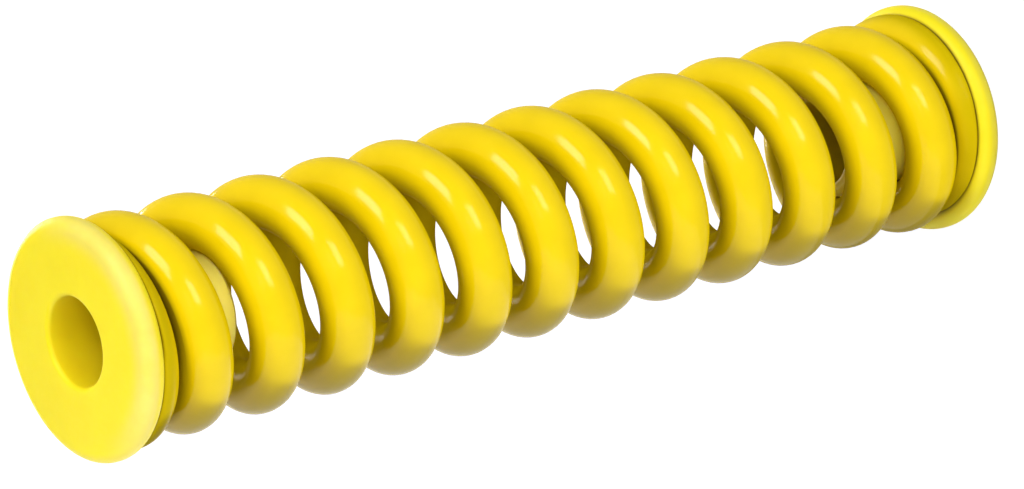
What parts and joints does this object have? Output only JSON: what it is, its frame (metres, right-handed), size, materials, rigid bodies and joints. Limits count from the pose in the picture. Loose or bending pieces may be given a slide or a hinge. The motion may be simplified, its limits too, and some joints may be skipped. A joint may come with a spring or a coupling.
{
  "type": "seatpost suspension spring",
  "caption": "Round-wire compression coil, closed and ground, with a flanged plastic cap in each end; springs a suspension seatpost along its guide rod.",
  "frame": {"origin": "centre of the lower cap's outer face, which the part stands on", "axes": "+Z along the coil's axis, from the lower cap to the upper one; the coil climbs right-handed"},
  "size_m": [0.0247, 0.0246, 0.112],
  "materials": {
    "coil_enamel": "glossy golden yellow enamel on spring steel",
    "cap_plastic": "satin lemon yellow moulded plastic, faintly translucent"
  },
  "bodies": {
    "lower": {"lower_end_cap": "cap_plastic", "coil_spring": "coil_enamel"},
    "upper": {"upper_end_cap": "cap_plastic"}
  },
  "joints": [
    {"name": "compression", "type": "slide", "parent": "lower", "child": "upper", "axis": [0, 0, 1], "range_m": [-0.015, 0], "stiffness_N_per_m": 137000, "deforming": ["coil_spring"]}
  ]
}
